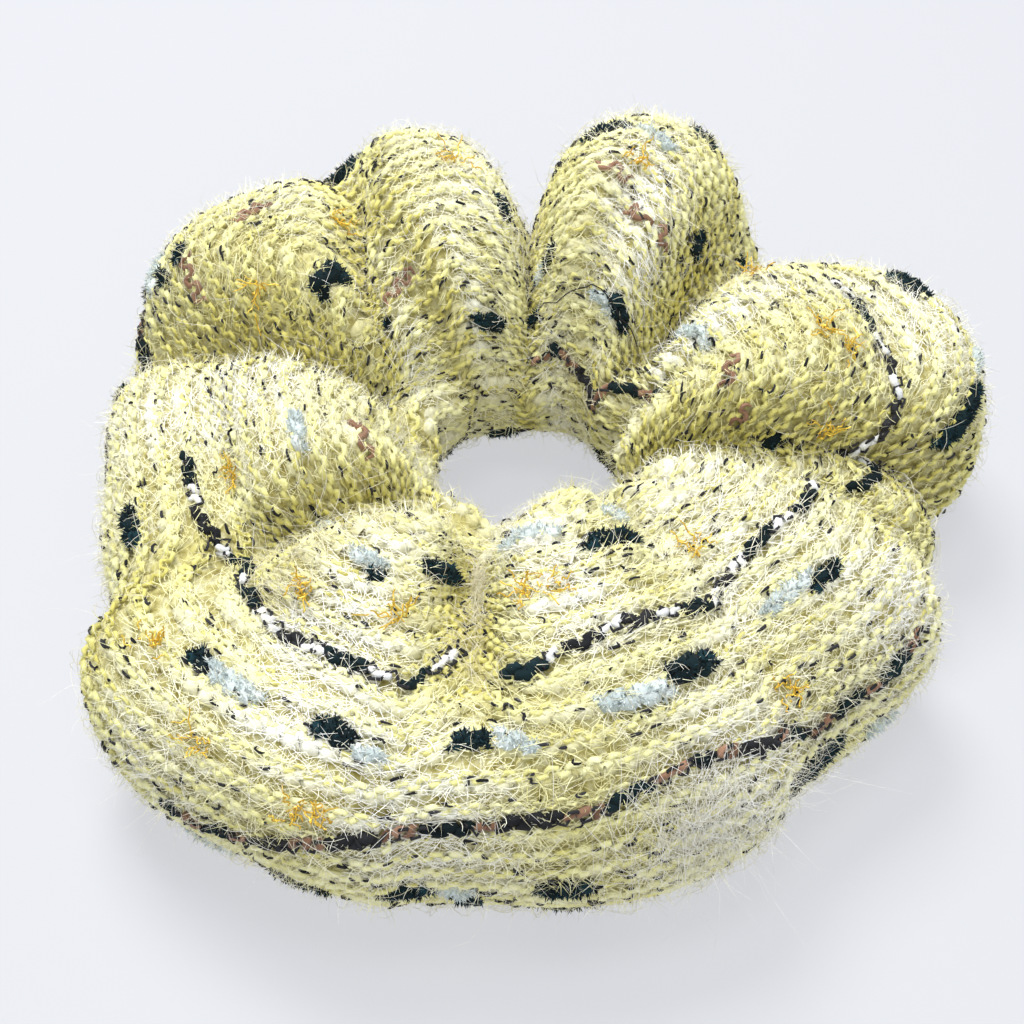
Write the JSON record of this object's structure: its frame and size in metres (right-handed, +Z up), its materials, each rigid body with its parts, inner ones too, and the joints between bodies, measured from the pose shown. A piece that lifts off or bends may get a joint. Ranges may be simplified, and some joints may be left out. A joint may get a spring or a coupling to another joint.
{
  "type": "scrunchie",
  "caption": "Oversized hair scrunchie: fuzzy multicolour knitted sleeve gathered in soft puffs round a flat elastic loop, with a round hole for hair.",
  "frame": {"origin": "middle of the footprint, on the surface that the scrunchie lies on", "axes": "+Z up through the hair hole; +Y to the back, across the longest extent; +X to the right, with the long smooth band at -Y"},
  "size_m": [0.1209, 0.1239, 0.044],
  "materials": {
    "knit_fabric": "fuzzy pale yellow and white knit with dark teal, grey-blue and rust slubs",
    "seam_yarn": "matte",
    "elastic_braid": "matte braided",
    "tack_thread": "matte"
  },
  "bodies": {
    "puff_01": {"gather_01": "knit_fabric", "seam_stitches_01": "seam_yarn", "elastic_band": "elastic_braid", "elastic_stitches": "tack_thread"},
    "puff_02": {"gather_02": "knit_fabric", "seam_stitches_02": "seam_yarn"},
    "puff_03": {"gather_03": "knit_fabric", "seam_stitches_03": "seam_yarn"},
    "puff_04": {"gather_04": "knit_fabric", "seam_stitches_04": "seam_yarn"},
    "puff_05": {"gather_05": "knit_fabric", "seam_stitches_05": "seam_yarn"},
    "puff_06": {"gather_06": "knit_fabric", "seam_stitches_06": "seam_yarn"},
    "puff_07": {"gather_07": "knit_fabric", "seam_stitches_07": "seam_yarn"},
    "puff_08": {"gather_08": "knit_fabric", "seam_stitches_08": "seam_yarn"},
    "puff_09": {"gather_09": "knit_fabric", "seam_stitches_09": "seam_yarn"},
    "closing_seam": {"closing_seam_yarn": "seam_yarn"}
  },
  "joints": [
    {"name": "stretch_02", "type": "slide", "parent": "puff_01", "child": "puff_02", "axis": [0.8767, 0.481, 0], "range_m": [0, 0.00978], "stiffness_N_per_m": 5000, "deforming": ["elastic_band"]},
    {"name": "stretch_03", "type": "slide", "parent": "puff_02", "child": "puff_03", "axis": [0.4501, 0.893, 0], "range_m": [0, 0.00657]},
    {"name": "stretch_04", "type": "slide", "parent": "puff_03", "child": "puff_04", "axis": [-0.0393, 0.9992, 0], "range_m": [0, 0.00727]},
    {"name": "stretch_05", "type": "slide", "parent": "puff_04", "child": "puff_05", "axis": [-0.6494, 0.7604, 0], "range_m": [0, 0.01079]},
    {"name": "stretch_06", "type": "slide", "parent": "puff_05", "child": "puff_06", "axis": [-0.9954, 0.0958, 0], "range_m": [0, 0.0099]},
    {"name": "stretch_07", "type": "slide", "parent": "puff_06", "child": "puff_07", "axis": [-0.8216, -0.57, 0], "range_m": [0, 0.00911]},
    {"name": "stretch_08", "type": "slide", "parent": "puff_07", "child": "puff_08", "axis": [-0.2292, -0.9734, 0], "range_m": [0, 0.01068]},
    {"name": "stretch_09", "type": "slide", "parent": "puff_08", "child": "puff_09", "axis": [0.5373, -0.8434, 0], "range_m": [0, 0.01079]},
    {"name": "stretch_seam", "type": "slide", "parent": "puff_09", "child": "closing_seam", "axis": [0.9734, -0.2292, 0], "range_m": [0, 0.01001]}
  ],
  "couplings": [
    {"joint": "stretch_03", "follows": "stretch_02", "ratio": 0.67088},
    {"joint": "stretch_04", "follows": "stretch_02", "ratio": 0.74242},
    {"joint": "stretch_05", "follows": "stretch_02", "ratio": 1.1029},
    {"joint": "stretch_06", "follows": "stretch_02", "ratio": 1.0115},
    {"joint": "stretch_07", "follows": "stretch_02", "ratio": 0.93056},
    {"joint": "stretch_08", "follows": "stretch_02", "ratio": 1.0915},
    {"joint": "stretch_09", "follows": "stretch_02", "ratio": 1.1029},
    {"joint": "stretch_seam", "follows": "stretch_02", "ratio": 1.023}
  ]
}
